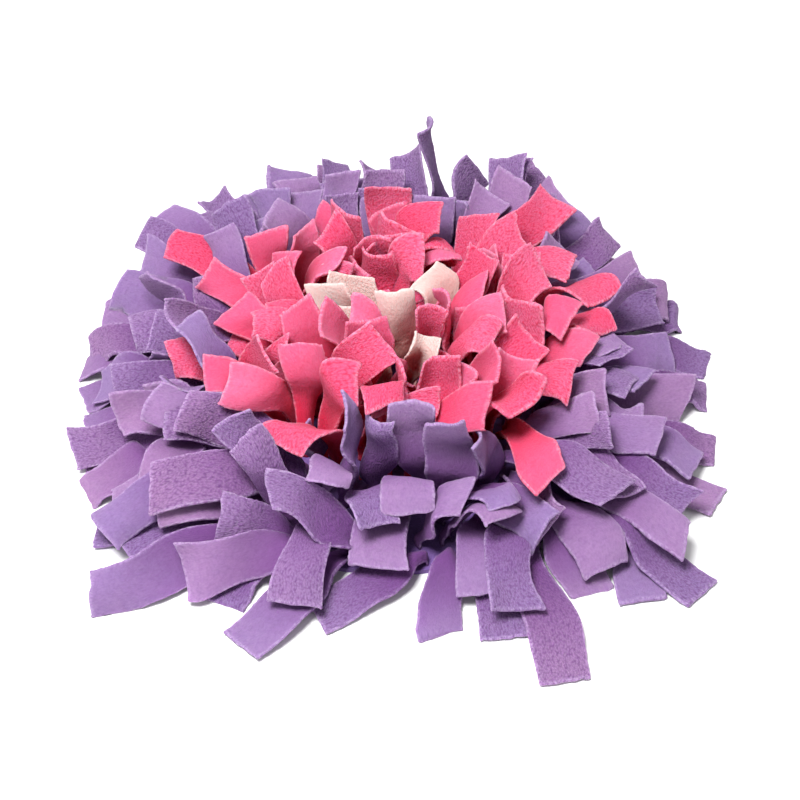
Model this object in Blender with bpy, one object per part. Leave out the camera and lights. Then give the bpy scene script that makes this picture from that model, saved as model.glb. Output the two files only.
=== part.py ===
"""A snuffle mat: fleece strips knotted in rings through a round base.

The base is a flat disc that lies on the floor. Each ring of knots is a band on the base, with one
strip rising from each knot. A strip is gathered at its knot, opens out to its full width and ends
in a square cut. The strips that give this mat its look are placed one by one in PLACED, and the
rest fill the knots left free. No strip touches another, and most of those at the rim lie on the floor.
"""

import math
import random
from collections import namedtuple

import bmesh
import bpy
import numpy as np
from mathutils.bvhtree import BVHTree

SEED = 5
MM = 0.001

# Base and bands, in metres
BASE_RADIUS = 0.159
BASE_THICK = 0.003
BASE_SIDES = 72
AIR = 0.0003  # between two pieces that lie on each other
BAND_BOTTOM = BASE_THICK + AIR
BAND_TOP = BAND_BOTTOM + 0.004
BAND_HALF = 0.0065  # half a band's width
FIRST_RADIUS = 0.0125
RING_PITCH = 0.0139

# Strips, in metres
STRIP_WIDTH = 0.028
STRIP_THICK = 0.0016
ROOT_WIDTH = 0.0085  # where a strip is gathered in its knot
ROOT_THICK = 0.0045
SHORT_LENGTH = (40, 74)  # in millimetres, for a knot with little room
SHORTEST = 0.050
SHORTEST_OF_ALL = 0.035
LONGEST = 0.118

# How strips lie
OVER_BANDS = BAND_TOP + 0.0008  # lowest a strip lies over the base
RIM_CLEAR = 0.002  # how far past the rim a strip starts to come down
RIM_SLOPE = 0.014  # the way in which it comes down to the floor
KNOT_SHARE = 0.22  # share of the length that the knot holds up
TURNED_SHARE = 0.7  # share of the length at which a strip has the roll of its end
LEVEL_HEIGHT = 0.012  # below this height above what it lies on, a strip turns level
LANDING = 0.005  # height over which it bends as it lands
REST = 0.00025  # slack under a strip that has landed
ROOM = 0.0005  # least gap between strips
PRESS = 0.001  # how far a curled strip gives way where it presses on another
LOW_END = 4  # in millimetres, a placed end under this lies on the floor
CURL_FADE = 0.3  # share of its curl that a strip gives up to find room
SLIGHT_CURL = 18  # the most that a placed strip with no curl of its own has
TALLEST = 0.087  # the most that a strip that isn't placed may rise
FRONT_DROP = 0.030  # by how much less the outer strips may rise at the front
TOWARDS_EYE = (0.0, -0.743, 0.669)  # the mat is looked at from the front and above
MARK_BACK = 0.008  # how far behind its end a placed strip is marked
COVER = 0.009  # how near a mark's line to the eye no other strip may pass
SIGHT_FROM = 8  # the first of the FINE shares that can cover a mark
DROOP = 22  # degrees by which the outer strips hang lower at the front than at the back
STEEPEST = -85  # degrees, the steepest that a strip's end hangs

# Shares of the length at which a strip is measured, tested and built
FINE = tuple(i / 24 for i in range(25))
FLAT_SHARES = (0.0, 0.15, 0.34, 0.55, 0.77, 1.0)
CURLED_SHARES = (0.13, 0.25, 0.37, 0.49, 0.61, 0.73, 0.87, 1.0)
CURLED_ACROSS = 4

TRIES = 50  # shapes tried at a knot for a placed strip
KNOTS_TRIED = 20
FILL_TRIES = 300
MERGE_EVERY = 10  # strips laid before the search tree is renewed
NEAR = 0.030  # how far apart the knots of strips that lie alike may be

# What makes a knot suit a placed end, in millimetres and degrees
OFF_LINE = 9
STEEP = 50  # above this pitch the end's line matters less
STEEP_SHARE = 0.3
FLOOR_FAR, FLOOR_SPREAD, RIM_SPREAD = 72, 24, 14
LIFTED_FAR, LIFTED_SPREAD = 80, 12
LEAST_ALONG, BACKWARD_SPREAD = 12, 6.3
CROWN, OUTWARD, INWARD_SPREAD = 85, 6, 7  # strips that end past the crown start nearer the middle
FAR_LIMITS, OUT_OF_REACH = (45, 112), 100

# Rings of knots from the middle out. Angles are in degrees: the pitch of a strip's end above level,
# how far its end and its lean may turn from straight outwards, its roll, and its lean at the knot.
# Then come the length of a strip that isn't placed and how far from the middle it may reach, in
# millimetres, its curl, and the share of the length at which it has opened to its full width.
Row = namedtuple("Row", "name colour knots pitch end_turn lean_turn roll lean length reach curl opening")
ROWS = (
    Row("cream_1", "cream", 6, (45, 95), 180, 60, 85, (2, 12), (70, 86), 70, (5, 90), 0.85),
    Row("pink_1", "pink", 13, (40, 95), 180, 120, 85, (2, 12), (70, 88), 85, (5, 100), 0.85),
    Row("pink_2", "pink", 19, (35, 95), 180, 110, 85, (2, 13), (70, 88), 95, (5, 100), 0.85),
    Row("pink_3", "pink", 25, (30, 90), 180, 90, 85, (3, 14), (70, 90), 105, (5, 100), 0.85),
    Row("pink_4", "pink", 31, (20, 90), 150, 80, 85, (4, 16), (70, 92), 114, (5, 95), 0.85),
    Row("pink_5", "pink", 37, (0, 85), 110, 70, 85, (4, 20), (72, 94), 124, (5, 85), 0.8),
    Row("purple_1", "purple", 41, (-10, 70), 70, 50, 75, (6, 26), (80, 98), 146, (5, 65), 0.65),
    Row("purple_2", "purple", 46, (-25, 55), 50, 42, 60, (10, 32), (84, 100), 168, (8, 50), 0.6),
    Row("purple_3", "purple", 51, (-35, 35), 42, 38, 50, (16, 42), (86, 100), 188, (6, 36), 0.55),
    Row("purple_4", "purple", 58, (-65, -10), 34, 32, 38, (28, 54), (82, 98), 203, (5, 28), 0.5),
    Row("purple_5", "purple", 65, (-85, -45), 28, 26, 28, (30, 56), (72, 90), 209, (4, 24), 0.5),
)

# Ends of strips placed one by one, the most telling first: the middle of the end in millimetres,
# then its heading, pitch and roll in degrees, its curl where it is curled like a gutter or an arch,
# and its opening where it opens sooner than the others of its ring.
End = namedtuple("End", "colour x y z heading pitch roll curl opening", defaults=(0, None))
PLACED = (
    # Cream strips in the middle
    End("cream", -41, 15, 78, 105, 65, -20, 40),
    End("cream", -26, 20, 80, 80, 55, 20, 30),
    End("cream", 21, -36, 78, 70, 20, 0, 75),
    End("cream", 4, -1, 82, 95, 65, 10, -25),
    End("cream", 11, 25, 80, 150, 20, -20, 20),
    # Pink strips around them
    End("pink", 1, -93, 72, -65, -45, 0, 8),
    End("pink", -11, -43, 80, 20, 30, 40, 20),
    End("pink", -24, -81, 78, -12, -5, 45, 15),
    End("pink", -55, -46, 80, 100, 50, 0, -40),
    End("pink", 13, 37, 82, -10, -5, 35, -15),
    End("pink", 52, 36, 82, 40, 25, 15, 20),
    End("pink", 54, 43, 84, 90, 75, 0, 85),
    End("pink", 26, 37, 80, -80, -10, 0, -70),
    End("pink", 30, 63, 80, 0, -5, 20, -30),
    End("pink", 71, -20, 84, 0, -5, 30, 10),
    End("pink", 52, 16, 78, 0, 0, 20, -15),
    End("pink", 62, -38, 76, -20, -20, 10, -50),
    End("pink", 57, -96, 78, -10, -5, 30, 15),
    End("pink", 75, -89, 76, -40, -10, 0, 70),
    End("pink", 74, -57, 80, 45, 40, 0, 70),
    End("pink", 86, 42, 80, 60, 45, -10, 50),
    End("pink", 115, 54, 62, -25, -5, 20, 10),
    End("pink", 105, -11, 72, -35, -10, 20, 10),
    End("pink", 121, -5, 60, -55, -20, 10, 10),
    End("pink", 131, 16, 56, -50, -15, 20, 10),
    End("pink", 86, -7, 78, 80, 50, 0, 60),
    End("pink", 120, -34, 60, -15, -10, 35, 5),
    End("pink", 88, -29, 76, 30, 20, 20, 40),
    End("pink", 100, -57, 68, -20, -15, 20, -30),
    End("pink", -85, -14, 72, 190, -10, -30, -50),
    End("pink", -108, 16, 58, 150, 0, -30, 10),
    End("pink", -35, 29, 82, -30, 10, 20, 60),
    End("pink", -79, 25, 84, 140, 50, -30, 15),
    End("pink", -46, 64, 84, 140, 35, -10, 20),
    End("pink", 27, -54, 78, 80, 55, 0, 75),
    End("pink", -26, -16, 78, 190, 10, -20, 40),
    End("pink", 40, -63, 80, 60, 50, 0, 70),
    End("pink", -18, -33, 84, 100, 75, 10, 50),
    End("pink", -40, -21, 82, 200, 60, -20, 60),
    End("pink", -58, -12, 84, 150, 60, -50, 50),
    End("pink", -3, 114, 80, 88, 72, 0, -10),
    End("pink", 112, 110, 76, 42, 12, 40, 8),
    End("pink", -86, 67, 84, 130, 55, -30, 10),
    End("pink", -144, 86, 52, 148, 5, -30, 10),
    End("pink", -108, 5, 56, 170, 0, -30, 20),
    End("pink", -144, -19, 42, 183, -8, -42, 10),
    End("pink", -115, -49, 58, 178, 0, -30, 20),
    End("pink", -94, -74, 70, 180, 15, -45, -30),
    End("pink", 93, -127, 46, -52, -15, 12, 10),
    End("pink", 56, 81, 80, 70, 45, 0, 40),
    End("pink", -4, -103, 80, -75, -20, 0, 15),
    End("pink", -64, -119, 62, -115, -35, 0, 10),
    End("pink", 62, -68, 84, -40, 60, 40, 60),
    End("pink", 94, 28, 82, 30, 10, 30, 40),
    End("pink", 84, 69, 78, 20, 30, 30, 15),
    End("pink", -124, 52, 58, 150, 20, -40, 10),
    End("pink", -62, 66, 84, 120, 70, 10, 40),
    # Purple strips standing in front
    End("purple", 13, -103, 84, -90, 98, 3, 0, 0.4),
    End("purple", 33, -110, 78, -80, 85, 25, 0, 0.4),
    End("purple", 45, -112, 74, -70, 75, 30, 0, 0.4),
    End("purple", -10, -105, 80, -90, 92, -10, 25, 0.4),
    End("purple", -26, -102, 82, -110, 80, -65, 30, 0.45),
    # Purple strips down the front, those on the floor first
    End("purple", 95, -239, 1, -87, 0, 0),
    End("purple", 65, -206, 1, -87, 0, 0),
    End("purple", 143, -180, 1, -90, 0, 0),
    End("purple", -41, -191, 2, 212, 0, 0),
    End("purple", -83, -215, 2, 225, 0, 0),
    End("purple", -169, -186, 11, 183, -3, -45),
    End("purple", 176, -163, 1, -42, 0, 0),
    End("purple", -3, -160, 40, -80, -30, 0),
    End("purple", 196, -103, 1, -28, 0, 0),
    End("purple", 68, -196, 12, -88, -20, 0),
    End("purple", 53, -187, 8, -92, -15, 0),
    End("purple", -7, -168, 22, -92, -30, 0),
    End("purple", -50, -196, 14, -97, -28, 0),
    End("purple", -116, -172, 20, 178, -5, -42),
    End("purple", -69, -140, 52, 168, 8, -45),
    End("purple", -97, -145, 36, 172, 0, -45),
    End("purple", 122, -164, 12, -62, -25, 0),
    End("purple", 172, -119, 12, -38, -15, 0),
    End("purple", 94, -156, 32, -40, -15, 20),
    End("purple", 13, -152, 42, -80, -35, 5, -15),
    End("purple", 42, -145, 52, -8, 0, 15, 0),
    End("purple", 66, -149, 50, -60, -40, 0, -30),
    End("purple", -34, -142, 62, -100, -20, 0, -20),
    End("purple", 92, -153, 30, -30, -25, 10, 15),
    End("purple", 158, -143, 10, -38, -18, 0),
    End("purple", -84, -122, 66, 140, 30, -40, -50),
    End("purple", -147, -150, 14, 215, -10, -10),
    End("purple", -132, -132, 32, 195, -10, -35),
    # Purple strips on the right
    End("purple", 118, -79, 60, -5, 18, 40),
    End("purple", 125, -132, 36, -38, -15, 15),
    End("purple", 157, -79, 30, -15, -10, 20),
    End("purple", 151, -41, 40, -20, 0, 0),
    End("purple", 182, -25, 12, -3, -8, 30),
    End("purple", 185, 21, 14, 8, -10, 25),
    End("purple", 178, 57, 22, 15, -8, 30),
    End("purple", 167, 97, 25, 32, -5, 30),
    # Purple strips at the back
    End("purple", 146, 125, 35, 40, 10, 25),
    End("purple", 133, 149, 42, 48, 10, 30),
    End("purple", 106, 167, 58, 45, 15, 45),
    End("purple", 74, 164, 60, 60, 20, 60),
    End("purple", 29, 157, 97, 80, 85, 80),
    End("purple", -12, 146, 75, 92, 65, 0),
    End("purple", -38, 126, 70, 95, 60, 0),
    End("purple", 22, 115, 72, 85, 70, 0),
    End("purple", -88, 143, 60, 110, 45, -10),
    End("purple", -43, 190, 55, 105, 20, 20),
    End("purple", -9, 183, 58, 95, 30, 30),
    End("purple", 14, 171, 62, 80, 40, -30),
    End("purple", -73, 140, 64, 100, 55, 0),
    # Purple strips on the left
    End("purple", -127, 169, 38, 128, 5, -20),
    End("purple", -161, 143, 38, 138, 0, -25),
    End("purple", -173, 124, 34, 145, -5, -30),
    End("purple", -168, 101, 26, 152, -10, -20),
    End("purple", -183, 76, 22, 160, -5, -25),
    End("purple", -195, 56, 14, 165, -10, -30),
    End("purple", -156, 10, 42, 170, -5, -30),
    End("purple", -171, 17, 32, 172, -10, -30),
    End("purple", -183, -18, 20, 178, -10, -30),
    End("purple", -196, -65, 13, 188, -12, -30),
    End("purple", -169, -62, 34, 187, -12, -30),
    End("purple", -134, -78, 50, 182, -5, -35),
    End("purple", -166, -113, 14, 195, -15, -25),
    End("purple", -156, -143, 9, 210, -15, -15),
    End("purple", -135, -132, 36, 190, -10, -40),
    End("purple", -116, -75, 60, 170, 10, -60),
    End("purple", -83, -110, 66, 150, 60, -40),
    End("purple", -174, -125, 1, 180, 0, 0),
)

# Base colours, linear
FELT = (0.16, 0.09, 0.27)
COLOURS = {
    "purple": (0.36, 0.215, 0.56),
    "pink": (0.92, 0.13, 0.30),
    "cream": (0.90, 0.78, 0.68),
}

Knot = namedtuple("Knot", "row order angle root")
# A strip's shape: the middle of its end, the heading, pitch and roll there, its lean and the way it
# leans at the knot, its roll there, its width, its curl across (1 / m), the slant of its cut and the
# share of the length at which it has its full width.
Shape = namedtuple("Shape", "tip heading pitch roll lean way root_roll width curl cut opening")
Frames = namedtuple("Frames", "points sides normals tangents")


def smooth(x):
    x = np.clip(x, 0.0, 1.0)
    return x * x * (3 - 2 * x)


def unit(vectors):
    return vectors / np.linalg.norm(vectors, axis=-1, keepdims=True)


def direction(heading, pitch):
    level = np.cos(pitch)
    return np.stack([level * np.cos(heading), level * np.sin(heading), np.sin(pitch)], -1)


def knots_of(row):
    """The knots of a ring, each ring turned half a knot against the last."""
    radius = FIRST_RADIUS + row * RING_PITCH
    count = ROWS[row].knots
    found = []
    for order in range(count):
        angle = math.tau * (order + 0.5 * (row % 2)) / count
        root = np.array([radius * math.cos(angle), radius * math.sin(angle), BAND_TOP])
        found.append(Knot(row, order, angle, root))
    return found


def section(share, width, opening):
    """A strip's width and thickness at a share of its length."""
    opened = smooth(share / opening)
    return ROOT_WIDTH + (width - ROOT_WIDTH) * opened, ROOT_THICK + (STRIP_THICK - ROOT_THICK) * opened


def frames_of(root, shapes):
    """The middle lines of shapes that start at one root, each with its sides, normals and tangents."""
    share = np.array(FINE)[None, :]
    t = share[..., None]
    tip = shapes.tip[:, None]
    first = direction(shapes.way, math.pi / 2 - shapes.lean)[:, None]
    last = direction(shapes.heading, shapes.pitch)[:, None]
    half = np.maximum(np.arccos(np.clip((first * last).sum(-1), -1, 1)) / 2, 0.05)[..., None]
    size = np.linalg.norm(tip - root, axis=-1, keepdims=True) * half / np.sin(half)
    points = (2 * t**3 - 3 * t**2 + 1) * root + (t**3 - 2 * t**2 + t) * size * first
    points += (3 * t**2 - 2 * t**3) * tip + (t**3 - t**2) * size * last
    tangents = (6 * t**2 - 6 * t) * (root - tip) + (3 * t**2 - 4 * t + 1) * size * first
    tangents = unit(tangents + (3 * t**2 - 2 * t) * size * last)

    radius = np.hypot(points[..., 0], points[..., 1])
    ground = OVER_BANDS * smooth((BASE_RADIUS + RIM_CLEAR + RIM_SLOPE - radius) / RIM_SLOPE)
    level = np.where(share > KNOT_SHARE, smooth((points[..., 2] - ground) / LEVEL_HEIGHT), 1.0)
    blend = smooth(share / TURNED_SHARE)
    roll = level * (shapes.root_roll[:, None] * (1 - blend) + shapes.roll[:, None] * blend)
    flat = direction(shapes.heading + math.pi / 2, 0 * shapes.heading)[:, None]

    def rolled(tangents):
        side = unit(flat - tangents * (flat * tangents).sum(-1, keepdims=True))
        up = np.cross(tangents, side)
        turn, lift = np.cos(roll)[..., None], np.sin(roll)[..., None]
        return side * turn + up * lift, up * turn - side * lift

    sides, normals = rolled(tangents)
    width, thick = section(share, shapes.width[:, None], shapes.opening[:, None])
    lowest = REST + ground + np.abs(sides[..., 2]) * width / 2 + np.abs(normals[..., 2]) * thick / 2
    lowest = BAND_TOP + (lowest - BAND_TOP) * smooth(share / KNOT_SHARE)
    over = points[..., 2] - lowest
    landed = np.clip(over + LANDING, 0, 2 * LANDING) ** 2 / (4 * LANDING) + np.maximum(over - LANDING, 0)
    points[..., 2] = lowest + np.where(share > 0, landed, over)
    tangents = unit(np.gradient(points, np.array(FINE), axis=1))
    tangents[:, :1] = first
    return Frames(points, *rolled(tangents), tangents)


def at_shares(frames, shares):
    """The frames at these shares of the length."""
    place = np.array(shares) * (len(FINE) - 1)
    before = np.minimum(place.astype(int), len(FINE) - 2)
    part = (place - before)[None, :, None]
    points, *directions = [v[:, before] * (1 - part) + v[:, before + 1] * part for v in frames]
    return Frames(points, *map(unit, directions))


def sections(frames, shares, shapes, across, extra=0.0):
    """Corners of closed ribbons, in a ring at each share: the upper face's, then the lower's back.

    With one face across, a ribbon is flat, and as wide as the curled strip spans."""
    share = np.array(shares)[None, :]
    width, thick = section(share, shapes.width[:, None], shapes.opening[:, None])
    width = width + 2 * extra
    thick = (thick + 2 * extra)[..., None, None]
    u = (np.arange(across + 1) / across - 0.5) * width[..., None]
    bend = np.where(np.abs(shapes.curl) < 1e-3, 1e-3, shapes.curl)[:, None, None]
    span = np.sin(u * bend) / bend
    angle = u * bend * (across > 1)
    middle = (1 - np.cos(angle[..., -1:])) / bend / 2
    along = u * np.tan(shapes.cut)[:, None, None] * smooth((share[..., None] - 0.5) / 0.5)
    along = along + extra * (share[..., None] == 1.0)
    points, sides, normals, tangents = [v[:, :, None] for v in frames]
    centre = points + sides * span[..., None] + tangents * along[..., None]
    centre = centre + normals * ((1 - np.cos(angle)) / bend - middle)[..., None]
    facing = normals * np.cos(angle)[..., None] - sides * np.sin(angle)[..., None]
    return np.concatenate([centre + facing * thick / 2, (centre - facing * thick / 2)[:, :, ::-1]], axis=2)


def ribbon_triangles(rings, across):
    """Triangles of a closed ribbon, its two faces split along the same lines."""
    around = 2 * (across + 1)
    triangles = []
    for ring in range(rings - 1):
        for k in range(around):
            a, b = ring * around + k, ring * around + (k + 1) % around
            if k <= across:
                triangles += [(a, b, b + around), (a, b + around, a + around)]
            else:
                triangles += [(a, b, a + around), (b, b + around, a + around)]
    end = (rings - 1) * around
    for k in range(across):
        a, b, c, d = end + k, end + k + 1, end + around - 2 - k, end + around - 1 - k
        triangles += [(a, b, c), (a, c, d)]
    return triangles


FLAT_TRIANGLES = ribbon_triangles(len(FLAT_SHARES), 1)
CURLED_TRIANGLES = ribbon_triangles(len(CURLED_SHARES), CURLED_ACROSS)


class Pile:
    """The strips laid so far, as flat and as curled ribbons, for telling whether another is clear."""

    def __init__(self):
        self.trees = []
        self.points = ([], [])
        self.triangles = ([], [])

    def clear(self, flat, curled):
        for kind, (points, triangles) in enumerate(((flat, FLAT_TRIANGLES), (curled, CURLED_TRIANGLES))):
            tree = BVHTree.FromPolygons(points, triangles, all_triangles=True)
            if any(tree.overlap(other[kind]) for other in self.trees):
                return False
        return True

    def add(self, flat, curled):
        ribbons = ((flat, FLAT_TRIANGLES), (curled, CURLED_TRIANGLES))
        for kind, (points, triangles) in enumerate(ribbons):
            start = len(self.points[kind])
            self.points[kind].extend(points)
            self.triangles[kind].extend(tuple(start + k for k in triangle) for triangle in triangles)
        self.trees.append([BVHTree.FromPolygons(*ribbon, all_triangles=True) for ribbon in ribbons])
        if len(self.trees) > MERGE_EVERY:
            whole = zip(self.points, self.triangles)
            self.trees = [[BVHTree.FromPolygons(*each, all_triangles=True) for each in whole]]


def cloth(rng, knot, curl):
    """The root roll, width, curl, cut and opening of a strip."""
    root_roll = math.radians(rng.uniform(-25, 25))
    width = STRIP_WIDTH * rng.uniform(0.95, 1.04)
    return root_roll, width, curl, math.radians(rng.uniform(-7, 7)), ROWS[knot.row].opening


def placed_shape(knot, end, rng, worse):
    """A strip from the knot to a placed end, let stray further as the tries go on."""
    stray = 0.4 + 1.6 * worse
    lifted = end.z > LOW_END
    tip = np.array([end.x, end.y, end.z]) + [rng.gauss(0, 3) * stray for _ in range(3)]
    tip[2] = max(tip[2], 1) if lifted else end.z
    tip = tip * MM
    heading = math.radians(end.heading + rng.gauss(0, 6) * stray)
    pitch = math.radians(end.pitch + rng.gauss(0, 5) * stray * lifted)
    roll = math.radians(end.roll + rng.gauss(0, 8) * stray)
    step = tip - knot.root
    way = math.atan2(step[1], step[0])
    lean = math.atan2(math.hypot(step[0], step[1]), max(step[2], 0.004)) * rng.uniform(0.35, 0.75)
    curl = end.curl * rng.uniform(0.8, 1.2) * (1 - CURL_FADE * worse) or rng.uniform(-1, 1) * SLIGHT_CURL
    shape = Shape(tip, heading, pitch, roll, min(lean, math.radians(66)), way, *cloth(rng, knot, curl))
    return shape._replace(opening=end.opening or shape.opening)


def copied_shape(knot, near, rng, worse):
    """A strip that lies along one near it, like a page of the same stack."""
    other, model = rng.choice(near)
    stray = 0.5 + worse
    turn = rng.gauss(0, math.radians(7)) * stray
    away = (model.tip - other.root) * rng.uniform(0.86, 1.04)
    turned = np.array([away[0] * math.cos(turn) - away[1] * math.sin(turn),
                       away[0] * math.sin(turn) + away[1] * math.cos(turn), away[2]])
    tip = knot.root + turned + np.array([rng.gauss(0, 3 * MM) for _ in range(3)]) * stray
    pitch = model.pitch + rng.gauss(0, math.radians(8)) * stray
    roll = model.roll + rng.gauss(0, math.radians(8)) * stray
    lean = abs(model.lean + rng.gauss(0, math.radians(5)) * stray)
    curl = model.curl * rng.uniform(0.8, 1.2)
    return Shape(tip, model.heading + turn, pitch, roll, lean, model.way + turn, *cloth(rng, knot, curl))


def in_front(knot):
    """How far a knot is among the outer ones at the front, from 0 to 1."""
    return max(0.0, -math.sin(knot.angle)) * (ROWS[knot.row].colour == "purple")


def free_shape(knot, rng, worse, short):
    """A strip that leans outwards and bends over as its ring does."""
    row = ROWS[knot.row]
    heading = knot.angle + math.radians(rng.uniform(-1, 1) * row.end_turn)
    way = knot.angle + math.radians(rng.uniform(-1, 1) * row.lean_turn)
    pitch = math.radians(max(rng.uniform(*row.pitch) - DROOP * in_front(knot), STEEPEST))
    lean = math.radians(rng.uniform(*row.lean))
    roll = math.radians(rng.uniform(-1, 1) * (90 if short else row.roll))
    length = rng.uniform(*(SHORT_LENGTH if short else row.length)) * MM * (1 - 0.5 * max(0.0, worse - 0.5))
    first, last = direction(way, math.pi / 2 - lean), direction(heading, pitch)
    half = max(math.acos(min(1.0, max(-1.0, float(first @ last)))) / 2, 0.05)
    tip = knot.root + unit(first + last) * length * math.sin(half) / half
    curl = rng.choice((-1, 1)) * rng.uniform(*row.curl) * (1 - CURL_FADE * worse)
    return Shape(tip, heading, pitch, roll, lean, way, *cloth(rng, knot, curl))


def marks_of(laid):
    """A point near the end of each strip laid."""
    return np.array([shape.tip - direction(shape.heading, shape.pitch) * MARK_BACK for _, shape in laid])


def covering(frames, shapes, marks):
    """Whether each shape hides one of the marks from an eye in front of the mat and above it."""
    side = frames.sides[:, SIGHT_FROM:] * shapes.width[:, None, None] / 3
    middle = frames.points[:, SIGHT_FROM:]
    points = np.concatenate([middle - side, middle, middle + side], axis=1)
    eye = np.array(TOWARDS_EYE)
    up = np.array([0.0, eye[2], -eye[1]])
    across = points[..., 0, None] - marks[:, 0]
    above = (points @ up)[..., None] - marks @ up
    nearer = (points @ eye)[..., None] - marks @ eye
    return ((nearer > 0) & (across**2 + above**2 < COVER**2)).any(axis=(1, 2))


def fitting(knot, frames, shapes, marks):
    """Whether each shape suits a ring, reaching and rising no further than it may and covering no mark."""
    points = frames.points
    reach = np.hypot(points[..., 0], points[..., 1]).max(1)
    tallest = TALLEST - FRONT_DROP * in_front(knot)
    fits = (reach < ROWS[knot.row].reach * MM) & (points[..., 2].max(1) < tallest)
    fits[fits] = ~covering(Frames(*(v[fits] for v in frames)), Shape(*(v[fits] for v in shapes)), marks)
    return fits


def first_clear(pile, knot, shapes, shortest, marks=None):
    """The first of the shapes that is clear of the pile, laid on it."""
    stacked = Shape(*(np.array(values) for values in zip(*shapes)))
    frames = frames_of(knot.root, stacked)
    fits = np.ones(len(shapes), bool) if marks is None else fitting(knot, frames, stacked, marks)
    lengths = np.linalg.norm(np.diff(frames.points, axis=1), axis=-1).sum(1)
    flat = sections(at_shares(frames, FLAT_SHARES), FLAT_SHARES, stacked, 1, ROOM / 2)
    curled = at_shares(frames, CURLED_SHARES)
    curled = sections(curled, CURLED_SHARES, stacked, CURLED_ACROSS, -PRESS / 2)
    for k, shape in enumerate(shapes):
        if not (fits[k] and shortest < lengths[k] < LONGEST):
            continue
        ribbons = flat[k].reshape(-1, 3).tolist(), curled[k].reshape(-1, 3).tolist()
        if pile.clear(*ribbons):
            pile.add(*ribbons)
            return shape
    return None


def misfit(knot, end):
    """How badly a knot suits a placed end, by its distance and how far it lies off the end's line."""
    step = np.array([end.x, end.y, end.z]) - knot.root / MM
    far = float(np.linalg.norm(step))
    heading = math.radians(end.heading)
    off_line = step[0] * math.sin(heading) - step[1] * math.cos(heading)
    along = step[0] * math.cos(heading) + step[1] * math.sin(heading)
    steep = abs(end.pitch) > STEEP
    cost = (off_line / OFF_LINE) ** 2 * (STEEP_SHARE if steep else 1)
    if end.z < LOW_END:
        rim = FIRST_RADIUS + (len(ROWS) - 1) * RING_PITCH
        inside = (rim - math.hypot(*knot.root[:2])) / MM
        cost += ((far - FLOOR_FAR) / FLOOR_SPREAD) ** 2 + (inside / RIM_SPREAD) ** 2
    else:
        cost += ((far - LIFTED_FAR) / LIFTED_SPREAD) ** 2
    if not steep and along < LEAST_ALONG:
        cost += ((LEAST_ALONG - along) / BACKWARD_SPREAD) ** 2
    if math.hypot(end.x, end.y) > CROWN:
        outside = math.hypot(*knot.root[:2]) / MM - math.hypot(end.x, end.y)
        cost += (max(0, outside + OUTWARD) / INWARD_SPREAD) ** 2
    return cost + (0 if FAR_LIMITS[0] < far < FAR_LIMITS[1] else OUT_OF_REACH)


def spread(count):
    return [k / count for k in range(count)]


def lay_strips():
    """Every strip as (knot, shape): the placed ones, then the rest from the rim inwards."""
    pile = Pile()
    laid = []
    free = [knot for row in range(len(ROWS)) for knot in knots_of(row)]
    for end in PLACED:
        suited = [knot for knot in free if ROWS[knot.row].colour == end.colour]
        for knot in sorted(suited, key=lambda knot: misfit(knot, end))[:KNOTS_TRIED]:
            rng = random.Random(SEED * 10007 + end.x * 401 + end.y * 53 + end.z)
            shapes = [placed_shape(knot, end, rng, worse) for worse in spread(TRIES)]
            shape = first_clear(pile, knot, shapes, SHORTEST)
            if shape:
                laid.append((knot, shape))
                free = [other for other in free if other is not knot]
                break
    marks = marks_of(laid)
    tight = []
    for knot in sorted(free, key=lambda knot: (-knot.row, knot.angle)):
        rng = random.Random(SEED * 7919 + knot.row * 1009 + knot.order)
        near = [pair for pair in laid if ROWS[pair[0].row].colour == ROWS[knot.row].colour
                and math.dist(pair[0].root, knot.root) < NEAR]
        shapes = [copied_shape(knot, near, rng, worse) if near and number % 2 else
                  free_shape(knot, rng, worse, False) for number, worse in enumerate(spread(FILL_TRIES))]
        shape = first_clear(pile, knot, shapes, SHORTEST, marks)
        if shape:
            laid.append((knot, shape))
        else:
            tight.append(knot)
    for knot in tight:
        rng = random.Random(SEED * 7919 + knot.row * 1009 + knot.order + 5)
        shapes = [free_shape(knot, rng, worse, True) for worse in spread(FILL_TRIES)]
        shape = first_clear(pile, knot, shapes, SHORTEST_OF_ALL, marks)
        if shape:
            laid.append((knot, shape))
    return laid


def fleece(colour):
    material = bpy.data.materials.new("fleece_" + colour)
    material.use_nodes = True
    shader = material.node_tree.nodes["Principled BSDF"]
    shader.inputs["Base Color"].default_value = (*COLOURS[colour], 1.0)
    shader.inputs["Roughness"].default_value = 0.95
    shader.inputs["Metallic"].default_value = 0.0
    shader.inputs["Sheen Weight"].default_value = 0.3
    return material


def felt():
    material = bpy.data.materials.new("felt_base")
    material.use_nodes = True
    shader = material.node_tree.nodes["Principled BSDF"]
    shader.inputs["Base Color"].default_value = (*FELT, 1.0)
    shader.inputs["Roughness"].default_value = 1.0
    shader.inputs["Metallic"].default_value = 0.0
    return material


def strip_corners(knot, shape):
    """Corners of a strip's flat solid, four at each share. The first four lie in the band's top."""
    one = Shape(*(np.array([value]) for value in shape))
    frames = at_shares(frames_of(knot.root, one), FLAT_SHARES)
    corners = sections(frames, FLAT_SHARES, one, 1)[0]
    corners[..., 2] = np.maximum(corners[..., 2], 0.0)  # an end that comes down steeply bends on the floor
    side = unit(frames.sides[0, 0, :2])
    across = np.array([*side, 0.0]) * ROOT_WIDTH / 2
    deep = np.array([-side[1], side[0], 0.0]) * ROOT_THICK / 2
    if float(deep @ frames.normals[0, 0]) < 0:
        deep = -deep
    corners[0] = knot.root + np.array([deep - across, deep + across, across - deep, -across - deep])
    return corners


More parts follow.
